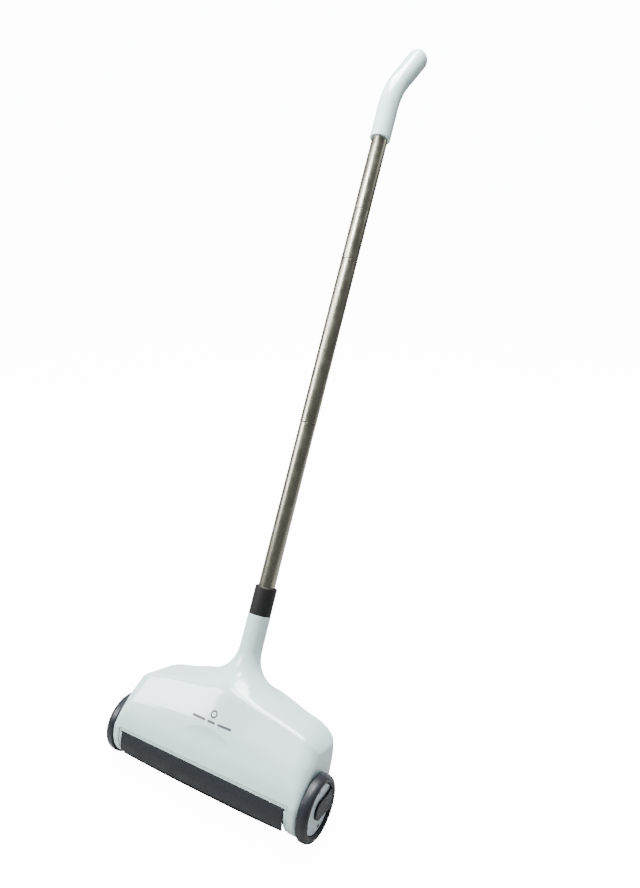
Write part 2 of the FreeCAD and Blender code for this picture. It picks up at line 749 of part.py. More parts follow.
def make_pole():
    socket = turned("neck_socket", [
        (d.socket_low, d.lower_tube_rad - 3), (d.socket_low, d.socket_rad),
        (d.neck_top, d.socket_rad), (d.neck_top, d.lower_tube_rad),
        (d.tube_foot, d.lower_tube_rad), (d.tube_foot, d.lower_tube_rad - 3),
    ], "Z")
    on_pole(socket, "neck_socket")
    collar = turned("collar", [
        (d.neck_top, d.lower_tube_rad), (d.neck_top, d.collar_rad - 0.6),
        (d.neck_top + 0.6, d.collar_rad), (d.collar_top - 1.2, d.collar_rad),
        (d.collar_top, d.collar_rad - 1.2), (d.collar_top, d.lower_tube_rad),
    ], "Z")
    on_pole(collar, "collar")
    gap = d.seam_gap / 2
    tubes = (("tube_lower", d.tube_foot, d.seam_low - gap, d.lower_tube_rad),
             ("tube_middle", d.seam_low + gap, d.seam_mid - gap, d.tube_rad),
             ("tube_short", d.seam_mid + gap, d.seam_high - gap, d.tube_rad),
             ("tube_upper", d.seam_high + gap, d.tube_end, d.tube_rad))
    for name, low, high, radius in tubes:
        tube = turned(name, [(low, radius - d.tube_wall), (low, radius), (high, radius),
                             (high, radius - d.tube_wall)], "Z")
        on_pole(tube, name)
    seams = (("low", d.seam_low, d.lower_tube_rad), ("mid", d.seam_mid, d.tube_rad),
             ("high", d.seam_high, d.tube_rad))
    for name, seam, below in seams:
        plug = turned(f"joint_plug_{name}", [
            (seam - d.plug_half, 0), (seam - d.plug_half, below - d.tube_wall),
            (seam - gap, below - d.tube_wall), (seam - gap, below - 0.15), (seam + gap, below - 0.15),
            (seam + gap, d.tube_rad - d.tube_wall), (seam + d.plug_half, d.tube_rad - d.tube_wall),
            (seam + d.plug_half, 0),
        ], "Z")
        on_pole(plug, f"joint_plug_{name}")


def grip_spots():
    """The grip's centre line: start, bend start, bend end and tip, in the plane of the pole."""
    angle = math.radians(SIZES["grip_angle"])
    bend, reach = SIZES["grip_bend_rad"], SIZES["grip_reach"]
    start = Vector(0, 0, SIZES["grip_low"])
    low = Vector(0, 0, SIZES["grip_bend_up"])
    high = low + Vector(0, bend * (1 - math.cos(angle)), bend * math.sin(angle))
    tip = high + Vector(0, math.sin(angle), math.cos(angle)) * reach
    return start, low, high, tip


def make_grip():
    """Bent grip: a round bar swept up the pole, back along an arc and out to a rounded tip."""
    start, low, high, tip = grip_spots()
    lower = placed("Cylinder", "grip_lower", {"Radius": d.grip_rad, "Height": d.grip_bend_up - d.grip_low},
                   (0, 0, d.grip_low))
    bend = doc.addObject("Part::Torus", "grip_bend")
    bind(bend, "Radius1", d.grip_bend_rad)
    bind(bend, "Radius2", d.grip_rad)
    bind(bend, "Angle3", d.grip_angle)
    # the torus is drawn about its own Z; stand it in the YZ plane with its centre behind the pole
    bend.Placement = Placement(Vector(0, SIZES["grip_bend_rad"], SIZES["grip_bend_up"]),
                               Rotation(Vector(0, -1, 0), Vector(0, 0, 1), Vector(-1, 0, 0), "XYZ"))
    bind(bend, "Placement.Base.y", d.grip_bend_rad)
    bind(bend, "Placement.Base.z", d.grip_bend_up)
    tilt = Rotation(Vector(1, 0, 0), -SIZES["grip_angle"])
    upper = doc.addObject("Part::Cylinder", "grip_upper")
    bind(upper, "Radius", d.grip_rad)
    bind(upper, "Height", d.grip_reach)
    upper.Placement = Placement(high, tilt)
    cap = doc.addObject("Part::Sphere", "grip_tip")
    bind(cap, "Radius", d.grip_rad)
    cap.Placement = Placement(tip, tilt)
    solid = fuse("grip_solid", lower, bend, upper, cap)
    socket = placed("Cylinder", "grip_bore", {"Radius": d.tube_rad, "Height": d.tube_end - d.grip_low + 1},
                    (0, 0, d.grip_low - 1))
    hang = doc.addObject("Part::Cylinder", "hang_bore")
    bind(hang, "Radius", d.hang_rad)
    bind(hang, "Height", d.hang_depth + d.grip_rad)
    hole_end = tilt.multVec(Vector(0, 0, SIZES["grip_rad"] - SIZES["hang_depth"]))
    hang.Placement = Placement(tip + hole_end, tilt)
    on_pole(cut("handle_grip", solid, fuse("grip_tools", socket, hang)), "handle_grip")


# --- the whole sweeper ---------------------------------------------------------------------------

make_main_housing()
make_rear_cover()
make_cover_screws()
make_bearings()
make_planet_pins()
make_axle()
make_axle_clips()
for side_name, side in SIDES.items():
    make_wheel(side_name, side)
make_hub_cap()
make_latch_lever()
make_gears()
make_brush()
make_dust_door()
make_front_lip()
make_brush_hood()
make_dust_bin()
make_rear_lip()
make_pole()
make_grip()
doc.recompute()

for item in doc.Objects:
    if "Invalid" in item.State or "Error" in item.State:
        raise RuntimeError(f"{item.Name} did not build: {item.State}")
for piece in subparts:
    if piece.Shape.isNull() or not piece.Shape.isValid() or not piece.Shape.Solids:
        raise RuntimeError(f"{piece.Label} has no valid solid")

os.makedirs("parts", exist_ok=True)
for piece in subparts:
    piece.Shape.exportStep(f"parts/{piece.Label}.step")
    print(piece.Label, len(piece.Shape.Solids), round(piece.Shape.Volume))
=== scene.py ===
"""Looks of the push-along carpet sweeper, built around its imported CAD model.

Shapes are worked out in millimetres in the sweeper's own upright frame: +X runs along the head, +Y to
the rear and +Z up the pole, from the middle of the axle. UPRIGHT carries them into the scene.
"""
import json
import math
import random

import bmesh
import bpy
import numpy as np
from mathutils import Matrix, Vector


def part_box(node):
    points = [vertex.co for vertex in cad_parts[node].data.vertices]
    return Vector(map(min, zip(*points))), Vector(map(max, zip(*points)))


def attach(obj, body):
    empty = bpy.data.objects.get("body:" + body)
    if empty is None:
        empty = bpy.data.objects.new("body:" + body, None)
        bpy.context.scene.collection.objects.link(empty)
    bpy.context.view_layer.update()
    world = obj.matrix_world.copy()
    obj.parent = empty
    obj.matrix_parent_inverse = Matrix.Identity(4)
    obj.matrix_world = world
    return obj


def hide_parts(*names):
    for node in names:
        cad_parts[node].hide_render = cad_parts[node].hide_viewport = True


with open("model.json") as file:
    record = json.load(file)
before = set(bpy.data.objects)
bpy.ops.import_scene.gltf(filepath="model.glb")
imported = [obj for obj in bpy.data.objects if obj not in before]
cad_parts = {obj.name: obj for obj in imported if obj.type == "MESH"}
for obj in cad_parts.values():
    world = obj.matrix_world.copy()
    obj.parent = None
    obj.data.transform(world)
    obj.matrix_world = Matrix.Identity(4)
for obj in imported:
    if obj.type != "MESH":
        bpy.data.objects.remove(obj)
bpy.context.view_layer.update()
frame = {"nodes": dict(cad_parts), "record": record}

MM = 0.001
LEAN = math.radians(30)
AXLE_UP = sum(corner.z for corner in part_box("tyre_right")) / 2
UPRIGHT = Matrix.Translation((0, 0, AXLE_UP)) @ Matrix.Rotation(-LEAN, 4, "X") @ Matrix.Scale(MM, 4)
scene = bpy.context.scene


def span(node):
    """A CAD node's lowest and highest corners in the upright frame, in millimetres."""
    back = UPRIGHT.inverted()
    spots = np.array([back @ vertex.co for vertex in frame["nodes"][node].data.vertices])
    return spots.min(axis=0), spots.max(axis=0)


# --- camera --------------------------------------------------------------------------------------

CAMERA_AT = Vector((0.4773, -0.5685, 0.7861))
CAMERA_BACK = Vector((0.4518, -0.818, 0.356)).normalized()
CAMERA_LENS = 27.9

right = Vector((0, 0, 1)).cross(CAMERA_BACK).normalized()
up = CAMERA_BACK.cross(right)
camera = bpy.data.objects.new("camera", bpy.data.cameras.new("camera"))
camera.data.lens = CAMERA_LENS
camera.data.clip_start = 0.01
camera.data.clip_end = 200
turn = Matrix((right, up, CAMERA_BACK)).transposed().to_4x4()
camera.matrix_world = Matrix.Translation(CAMERA_AT) @ turn
scene.collection.objects.link(camera)
scene.camera = camera


# --- materials -----------------------------------------------------------------------------------


class Shader:
    """A material's node tree around one Principled shader, with patterns in upright millimetres."""

    def __init__(self, name, roughness, metallic=0.0, coat=0.0, specular=0.5):
        self.material = bpy.data.materials.new(name)
        self.material.use_nodes = True
        self.tree = self.material.node_tree
        self.shader = self.tree.nodes["Principled BSDF"]
        for socket, value in (("Roughness", roughness), ("Metallic", metallic), ("Coat Weight", coat),
                              ("Coat Roughness", 0.05), ("Specular IOR Level", specular)):
            self.shader.inputs[socket].default_value = value
        place = self.add("ShaderNodeTexCoord").outputs["Object"]
        self.mapping = self.add("ShaderNodeMapping", Vector=place)
        self.mapping.inputs["Rotation"].default_value = (LEAN, 0, 0)
        self.mapping.inputs["Scale"].default_value = (1 / MM, 1 / MM, 1 / MM)

    def add(self, kind, **inputs):
        node = self.tree.nodes.new(kind)
        for socket, value in inputs.items():
            self.feed(value, node.inputs[socket.replace("_", " ")])
        return node

    def feed(self, value, socket):
        if isinstance(value, bpy.types.NodeSocket):
            self.tree.links.new(value, socket)
        else:
            socket.default_value = value

    def noise(self, size, detail=2.0, stretch=(1, 1, 1), offset=0.0):
        """Noise with features of about size millimetres, longer along an axis whose stretch is higher."""
        scaled = self.add("ShaderNodeMapping", Vector=self.mapping.outputs["Vector"])
        scaled.inputs["Scale"].default_value = [1 / (size * more) for more in stretch]
        scaled.inputs["Location"].default_value = (offset, offset, offset)
        node = self.add("ShaderNodeTexNoise", Vector=scaled.outputs["Vector"], Scale=1.0, Detail=detail)
        return node.outputs["Fac"]

    def ramp(self, value, low, high, start=0.35, end=0.65):
        """The value's middle range spread between two numbers."""
        node = self.add("ShaderNodeMapRange", Value=value)
        for socket, number in (("From Min", start), ("From Max", end), ("To Min", low), ("To Max", high)):
            node.inputs[socket].default_value = number
        return node.outputs["Result"]

    def mix(self, factor, first, second):
        node = self.tree.nodes.new("ShaderNodeMix")
        node.data_type = "RGBA"
        for value, index in ((factor, 0), (first, 6), (second, 7)):
            self.feed(value, node.inputs[index])
        return node.outputs[2]

    def product(self, first, second):
        node = self.tree.nodes.new("ShaderNodeMath")
        node.operation = "MULTIPLY"
        self.feed(first, node.inputs[0])
        self.feed(second, node.inputs[1])
        return node.outputs[0]

    def edges(self, start=0.52, end=0.6):
        """High on worn convex edges."""
        pointed = self.add("ShaderNodeNewGeometry").outputs["Pointiness"]
        return self.ramp(pointed, 0.0, 1.0, start, end)

    def bumps(self, *layers):
        """Bump layers given as (height, depth in millimetres)."""
        normal = None
        for height, depth in layers:
            node = self.add("ShaderNodeBump", Height=height)
            node.inputs["Distance"].default_value = depth * MM
            if normal:
                self.feed(normal, node.inputs["Normal"])
            normal = node.outputs["Normal"]
        self.feed(normal, self.shader.inputs["Normal"])


def shade(colour, factor):
    return (*[min(1.0, part * factor) for part in colour], 1.0)


def plastic(name, colour, roughness, *, coat=0.0, patch=60, spread=0.05, grain=0.6, grain_depth=0.02,
            scuff=0.06, wear=0.0, specular=0.5):
    """Moulded plastic: slow colour drift, fine grain, scuffs that change the gloss, and rubbed edges."""
    look = Shader(name, roughness, coat=coat, specular=specular)
    base = look.mix(look.ramp(look.noise(patch), 0, 1), shade(colour, 1 - spread), shade(colour, 1 + spread))
    specks = look.ramp(look.noise(1.6, 3, offset=7), 0, 1, 0.62, 0.75)
    base = look.mix(look.product(specks, 0.25), base, shade(colour, 0.8))
    if wear:
        base = look.mix(look.product(look.edges(), wear), base, shade(colour, 1.7))
    look.feed(base, look.shader.inputs["Base Color"])
    scratches = look.noise(0.5, 4, (14, 1, 5), 3)
    smudges = look.noise(22, 3, offset=11)
    rub = look.mix(look.ramp(scratches, 0, 1, 0.55, 0.8), smudges, (0.8, 0.8, 0.8, 1))
    look.feed(look.ramp(rub, max(roughness - scuff, 0.03), roughness + scuff),
              look.shader.inputs["Roughness"])
    look.bumps((look.noise(grain, 2), grain_depth), (scratches, grain_depth * 0.3))
    return look.material


def metal(name, colour, roughness, *, brush=(1, 1, 40), line=0.35, depth=0.006, flake=0.0):
    """Metal or metallic coating with fine drawn lines, flakes and handling marks."""
    look = Shader(name, roughness, metallic=1.0, coat=0.0)
    lines = look.noise(line, 3, brush)
    base = look.mix(look.ramp(lines, 0, 1), shade(colour, 0.93), shade(colour, 1.07))
    if flake:
        cells = look.add("ShaderNodeTexVoronoi", Vector=look.mapping.outputs["Vector"], Scale=2.2)
        spark = look.ramp(cells.outputs["Color"], 0, flake, 0.75, 1.0)
        base = look.mix(spark, base, shade(colour, 1.9))
    stains = look.ramp(look.noise(35, 3, offset=5), 0, 1, 0.45, 0.75)
    base = look.mix(look.product(stains, 0.12), base, shade(colour, 0.6))
    look.feed(base, look.shader.inputs["Base Color"])
    rub = look.mix(0.5, lines, look.noise(16, 3, offset=2))
    look.feed(look.ramp(rub, roughness - 0.07, roughness + 0.09), look.shader.inputs["Roughness"])
    look.bumps((lines, depth))
    return look.material


WHITE = (0.56, 0.735, 0.735)
MATERIALS = {
    "gloss_white": plastic("gloss_white", WHITE, 0.2, coat=0.35, spread=0.012, grain=1.2,
                           grain_depth=0.004, scuff=0.05),
    "slate_plastic": plastic("slate_plastic", (0.016, 0.019, 0.0235), 0.5, spread=0.06, grain=0.45,
                             grain_depth=0.018, wear=0.2, specular=0.2),
    "tyre": plastic("tyre", (0.014, 0.0165, 0.021), 0.36, spread=0.08, grain=0.7, grain_depth=0.012,
                    scuff=0.1, wear=0.25, specular=0.3),
    "silver_inlay": plastic("silver_inlay", (0.52, 0.61, 0.67), 0.36, spread=0.03, grain=0.35,
                            grain_depth=0.01, patch=25),
    "black_plastic": plastic("black_plastic", (0.011, 0.011, 0.0105), 0.55, spread=0.12, grain=0.4,
                             grain_depth=0.025, wear=0.2, specular=0.22),
    "bristle": plastic("bristle", (0.005, 0.0053, 0.006), 0.5, spread=0.3, patch=6, grain=0.3,
                       grain_depth=0.01, specular=0.1),
    "lip_rubber": plastic("lip_rubber", (0.004, 0.0042, 0.0048), 0.75, spread=0.15, grain=0.5,
                          grain_depth=0.04, specular=0.06),
    "bin_plastic": plastic("bin_plastic", (0.4, 0.43, 0.45), 0.42, spread=0.04, grain=0.5,
                           grain_depth=0.02),
    "gear_plastic": plastic("gear_plastic", (0.72, 0.7, 0.62), 0.45, spread=0.04, grain=0.4,
                            grain_depth=0.015, patch=12),
    "tube_metal": metal("tube_metal", (0.27, 0.26, 0.205), 0.3, flake=0.4),
    # painted shade: the plugs are coloured near black instead of their light grey, standing in for the
    # shadow gap at each tube seam
    "plug_plastic": plastic("plug_plastic", (0.03, 0.03, 0.028), 0.6, spread=0.1, specular=0.2),
    "steel": metal("steel", (0.62, 0.62, 0.61), 0.28, brush=(20, 1, 1), line=0.2),
}
# painted shade: grey colour of the band that stands in for the shadow of the door recess's step
RECESS_SHADE_PAINT = plastic("painted_recess_shade", (0.16, 0.185, 0.19), 0.5, spread=0.06, grain=0.3, grain_depth=0.006)
PRINT = plastic("emblem_print", (0.06, 0.068, 0.08), 0.45, spread=0.06, grain=0.3, grain_depth=0.006)


# --- mesh helpers --------------------------------------------------------------------------------


def new_piece(name, points, faces, body, slot, *replaced, sharp=35, material=None):
    """A piece from upright millimetres that rides on a body and may stand for CAD nodes."""
    mesh = bpy.data.meshes.new(name)
    mesh.from_pydata([tuple(point) for point in points], [], faces)
    work = bmesh.new()
    work.from_mesh(mesh)
    bmesh.ops.remove_doubles(work, verts=work.verts, dist=1e-4)
    bmesh.ops.recalc_face_normals(work, faces=work.faces)
    work.to_mesh(mesh)
    work.free()
    mesh.transform(UPRIGHT)
    mesh.polygons.foreach_set("use_smooth", [True] * len(mesh.polygons))
    mesh.set_sharp_from_angle(angle=math.radians(sharp))
    mesh.materials.append(material or MATERIALS[slot])
    piece = bpy.data.objects.new(name, mesh)
    scene.collection.objects.link(piece)
    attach(piece, body)
    if replaced:
        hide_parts(*replaced)
    return piece


def joined(*shapes):
    """Several (points, faces) shapes as one."""
    points, faces = [], []
    for more_points, more_faces in shapes:
        start = len(points)
        points += [tuple(point) for point in more_points]
        faces += [tuple(start + index for index in face) for face in more_faces]
    return points, faces


def rounded(corners, closed=True):
    """An outline through (across, up, radius) corners, with each corner rounded to its radius."""
    spots = []
    count = len(corners)
    for index, (across, up, radius) in enumerate(corners):
        here = np.array([across, up], float)
        if radius <= 0 or (not closed and index in (0, count - 1)):
            spots.append(here)
            continue
        before = np.array(corners[index - 1][:2]) - here
        after = np.array(corners[(index + 1) % count][:2]) - here
        lengths = np.linalg.norm(before), np.linalg.norm(after)
        before, after = before / lengths[0], after / lengths[1]
        half = math.acos(np.clip(before @ after, -0.999999, 0.999999)) / 2
        reach = min(radius / math.tan(half), 0.49 * lengths[0], 0.49 * lengths[1])
        middle = before + after
        centre = here + middle / np.linalg.norm(middle) * reach / math.cos(half)
        start, end = here + before * reach - centre, here + after * reach - centre
        sweep = math.atan2(start[0] * end[1] - start[1] * end[0], start @ end)
        steps = max(3, math.ceil(abs(sweep) / math.radians(8)))
        for step in range(steps + 1):
            angle = sweep * step / steps
            cos, sin = math.cos(angle), math.sin(angle)
            spots.append(centre + np.array([start[0] * cos - start[1] * sin,
                                            start[0] * sin + start[1] * cos]))
    return np.array(spots)


def lathe(corners, about="X", centre=(0.0, 0.0), side=1, steps=112):
    """A solid turned from a closed outline of (along, radius, rounding) corners."""
    outline = rounded(corners)
    points, faces = [], []
    count = len(outline)
    for step in range(steps):
        angle = 2 * math.pi * step / steps
        for along, radius in outline:
            first, second = radius * math.cos(angle) + centre[0], radius * math.sin(angle) + centre[1]
            points.append((side * along, first, second) if about == "X" else (first, second, along))
    for step in range(steps):
        here, there = step * count, (step + 1) % steps * count
        for index in range(count):
            after = (index + 1) % count
            faces.append((here + index, here + after, there + after, there + index))
    return points, faces


def block(outline, low, high, thick_axis="X"):
    """A flat plate with a closed outline, between two places along an axis."""
    count = len(outline)
    order = {"X": (2, 0, 1), "Y": (0, 2, 1)}[thick_axis]
    points = [tuple((across, up, along)[part] for part in order)
              for along in (low, high) for across, up in outline]
    faces = [tuple(range(count)), tuple(range(2 * count - 1, count - 1, -1))]
    faces += [(index, (index + 1) % count, count + (index + 1) % count, count + index)
              for index in range(count)]
    return points, faces


def bevel(piece, width, segments=3, angle=40):
    """Rounds a piece's sharp edges by width millimetres."""
    tool = piece.modifiers.new("edge_rounding", "BEVEL")
    tool.width = width * MM
    tool.segments = segments
    tool.limit_method = "ANGLE"
    tool.angle_limit = math.radians(angle)
    tool.harden_normals = True
    return piece


# --- head shell ----------------------------------------------------------------------------------

SHELL_HIGH = span("main_housing")[1]
SHELL_HALF = SHELL_HIGH[0]
NECK_TOP = SHELL_HIGH[2]
POLE_BACK = sum(side[1] for side in span("collar")) / 2
SOCKET_LOW, SOCKET_HIGH = span("neck_socket")
SOCKET_RAD = SOCKET_HIGH[0]
NECK_RAD = SOCKET_RAD + 3.0
NECK_LOW, NECK_FLARE_UP, NECK_TAPER = 92.0, 165.0, 0.03
DOOR_HIGH = span("dust_door")[1]
DOOR_HALF = 133.1
CHEEK_INNER = DOOR_HALF + 0.5
CHAMBER_RAD = 43.5
WALL = 2.6
FRONT, REAR = 46.0, 46.0
SILL = 4.0
WINDOW_TOP = 1.8
HIP_RAD = 39.5
MOUTH_FRONT, MOUTH_REAR = -66, -163
RIDGE_BACK, RIDGE_UP = 21.5, 97.0
CROWN_BACK, CROWN_UP = 34.9, 115.6
REAR_BREAK_UP = 110.0
RIDGE_FALL, CROWN_FALL, FALL_FROM = 11.4, 16.4, 0.72
NECK_BLEND, NECK_BLEND_REAR = 61.8, 24.0
BLEND_FRONT, BLEND_BACK = 16.0, 44.0
FRAME_MARGIN = 5.0
FRAME_TOP = 5.6
FRAME_DEPTH = 0.8
FRAME_BACK = 10.0
FRAME_LOW = -26.0
COVER_LOW, COVER_HIGH = span("rear_cover")
COVER_CORNER, COVER_GAP = 7.0, 0.4
HATCH_INSET, HATCH_CORNER, HATCH_FRONT = 7.0, 4.0, 20.0
WINDOW_BACK = 15.0
POLE_BORE_RAD, POLE_BORE_LOW = 9.0, 60.0
HUB_BORE_RAD, BEARING_RAD = 20.0, 28.0


def front_polar(radius, angle):
    """A point of the side view at an angle above the forward direction."""
    angle = math.radians(angle)
    return -radius * math.cos(angle), radius * math.sin(angle)


SIDE_OUTLINE = rounded([
    (-FRONT, SILL, 6), (-45.0, 24, 90), (-37.5, 58, 120), (-RIDGE_BACK, RIDGE_UP, 12),
    (CROWN_BACK, CROWN_UP, 30), (REAR - 1, REAR_BREAK_UP, 22), (REAR, 58, 30), (REAR, 0, 10),
    (*front_polar(REAR, MOUTH_REAR), 0), (0, 0, 0),
    (*front_polar(HIP_RAD, MOUTH_FRONT), 0), (*front_polar(HIP_RAD + 1.2, -50), 20),
    (*front_polar(HIP_RAD + 2.5, -34), 20), (*front_polar(HIP_RAD + 3.9, -16), 20),
])
END_HALF = [(SHELL_HALF, 52, 60), (146.5, 91, 34), (128, 105.7, 40), (98, 106, 60), (50, 130, 80)]
MIRRORED_HALF = [(-across, height, size) for across, height, size in reversed(END_HALF)]
END_OUTLINE = rounded([(SHELL_HALF, -60, 0)] + END_HALF + MIRRORED_HALF + [(-SHELL_HALF, -60, 0)])


class Table:
    """Signed distance to a closed outline, kept on a fine grid and read between its points."""

    STEP = 0.5

    def __init__(self, outline, low, high):
        self.low = np.array(low, float)
        self.shape = [int((top - bottom) / self.STEP) + 2 for bottom, top in zip(low, high)]
        across, up = np.meshgrid(*[bottom + self.STEP * np.arange(count)
                                   for bottom, count in zip(low, self.shape)], indexing="ij")
        nearest = np.full(across.shape, np.inf)
        inside = np.zeros(across.shape, bool)
        for (x0, y0), (x1, y1) in zip(outline, np.roll(outline, -1, axis=0)):
            run, rise = x1 - x0, y1 - y0
            if run * run + rise * rise < 1e-12:
                continue
            along = ((across - x0) * run + (up - y0) * rise) / (run * run + rise * rise)
            along = np.clip(along, 0, 1)
            gap = (across - x0 - along * run) ** 2 + (up - y0 - along * rise) ** 2
            nearest = np.minimum(nearest, gap)
            if rise:
                crosses = (y0 > up) != (y1 > up)
                inside ^= crosses & (across < x0 + (up - y0) * run / rise)
        self.values = np.where(inside, -1, 1) * np.sqrt(nearest)

    def __call__(self, across, up):
        first = np.clip((across - self.low[0]) / self.STEP, 0, self.shape[0] - 1.001)
        second = np.clip((up - self.low[1]) / self.STEP, 0, self.shape[1] - 1.001)
        i, j = first.astype(int), second.astype(int)
        first, second = first - i, second - j
        table = self.values
        return ((table[i, j] * (1 - first) + table[i + 1, j] * first) * (1 - second)
                + (table[i, j + 1] * (1 - first) + table[i + 1, j + 1] * first) * second)


side_table = Table(SIDE_OUTLINE, (-60, -70), (60, 215))
end_table = Table(END_OUTLINE, (-170, -70), (170, 215))


def smooth_step(value, start, end):
    part = np.clip((value - start) / (end - start), 0, 1)
    return part * part * (3 - 2 * part)


def smooth_union(first, second, reach):
    near = np.maximum(reach - np.abs(first - second), 0) / reach
    return np.minimum(first, second) - near * near * reach / 4


def round_meet(first, second, radius):
    """Where both are inside, with the edge between them rounded."""
    return (np.minimum(np.maximum(first, second), -radius)
            + np.hypot(np.maximum(first + radius, 0), np.maximum(second + radius, 0)))


def rounded_box(first, second, half_first, half_second, corner):
    """Distance to a rounded rectangle about the origin."""
    over = np.abs(first) - half_first + corner, np.abs(second) - half_second + corner
    return (np.hypot(np.maximum(over[0], 0), np.maximum(over[1], 0))
            + np.minimum(np.maximum(over[0], over[1]), 0) - corner)


def dome(x, y, z):
    """The domed head without its neck: its crown falls towards the ends."""
    out = np.minimum(np.abs(x) / (FALL_FROM * SHELL_HALF), 3) ** 2
    back = smooth_step(y, -RIDGE_BACK - 0.5, CROWN_BACK)
    fall = (RIDGE_FALL * (1 - back) + CROWN_FALL * back) * out * smooth_step(z, 25, 85)
    side = side_table(y, z + fall)
    tight = 9 * smooth_step(y, -5, 35) * (1 - smooth_step(z, 60, 90))
    edge = 5 + (17 - tight) * smooth_step(z, -5, 55)
    body = round_meet(side, end_table(x, z), edge)
    hips = round_meet(np.hypot(y, z) - HIP_RAD, np.abs(x) - SHELL_HALF, 2.5)
    return np.minimum(body, hips)


def shell_outside(x, y, z):
    """The dome and neck blended together, with the frame round the door sunk into the front."""
    radius = np.hypot(x, y - POLE_BACK)
    flare = NECK_TAPER * np.maximum(NECK_FLARE_UP - z, 0)
    neck = round_meet(radius - NECK_RAD - flare, z - NECK_TOP, 0.8)
    neck = np.maximum(neck, NECK_LOW - z)
    rear = smooth_step(y, BLEND_FRONT, BLEND_BACK)
    reach = NECK_BLEND - (NECK_BLEND - NECK_BLEND_REAR) * rear
    head = dome(x, y, z)
    across = np.abs(x) - DOOR_HALF - FRAME_MARGIN
    inset = np.maximum(np.maximum(across, z - FRAME_TOP), y + FRAME_BACK)
    return smooth_union(head, neck, reach) + FRAME_DEPTH * (1 - smooth_step(inset, -0.7, 0))


def wedge(y, z):
    """The open floor side between the front and rear edges."""
    faces = []
    for angle, sign in ((MOUTH_FRONT, 1), (MOUTH_REAR, -1)):
        ray = front_polar(1, angle)
        faces.append(sign * (y * ray[1] - z * ray[0]))
    return np.maximum(*faces)


def shell(x, y, z):
    """The whole white shell, negative inside its plastic."""
    wide = np.abs(x)
    axle = np.hypot(y, z)
    pole = np.hypot(x, y - POLE_BACK)
    inner = dome(x, y, z) + WALL
    cover_mid = (COVER_LOW[2] + COVER_HIGH[2]) / 2
    cover_tall = (COVER_HIGH[2] - COVER_LOW[2]) / 2
    cheek_mid, cheek_half = (CHEEK_INNER + SHELL_HALF) / 2, (SHELL_HALF - CHEEK_INNER) / 2
    hatch_wide, hatch_tall = COVER_HIGH[0] - HATCH_INSET, cover_tall - HATCH_INSET
    seat_wide, seat_tall = COVER_HIGH[0] + COVER_GAP, cover_tall + COVER_GAP
    brush_room = np.maximum(np.minimum(inner, axle - CHAMBER_RAD), wide - CHEEK_INNER)
    cheek_rooms = np.maximum(inner, np.abs(wide - cheek_mid) - cheek_half + WALL)
    socket_seat = np.maximum(pole - SOCKET_RAD, SOCKET_LOW[2] - z)
    pole_bore = np.maximum(pole - POLE_BORE_RAD, POLE_BORE_LOW - z)
    window = np.maximum(np.maximum(wide - CHEEK_INNER, y + WINDOW_BACK), z - WINDOW_TOP)
    hatch = np.maximum(rounded_box(x, z - cover_mid, hatch_wide, hatch_tall, HATCH_CORNER), HATCH_FRONT - y)
    cover_seat = np.maximum(rounded_box(x, z - cover_mid, seat_wide, seat_tall, COVER_CORNER),
                            REAR - WALL / 2 - y)
    hub_bores = np.maximum(axle - HUB_BORE_RAD, wide - SHELL_HALF + 1)
    bearing_seats = np.maximum(axle - BEARING_RAD, SHELL_HALF - WALL - 1 - wide)
    rooms = [brush_room, cheek_rooms, socket_seat, pole_bore, wedge(y, z), window, hatch, cover_seat,
             hub_bores, bearing_seats]
    solid = shell_outside(x, y, z)
    for room in rooms:
        solid = np.maximum(solid, -room)
    return solid


STEP = 1.25
PROBE = 0.45


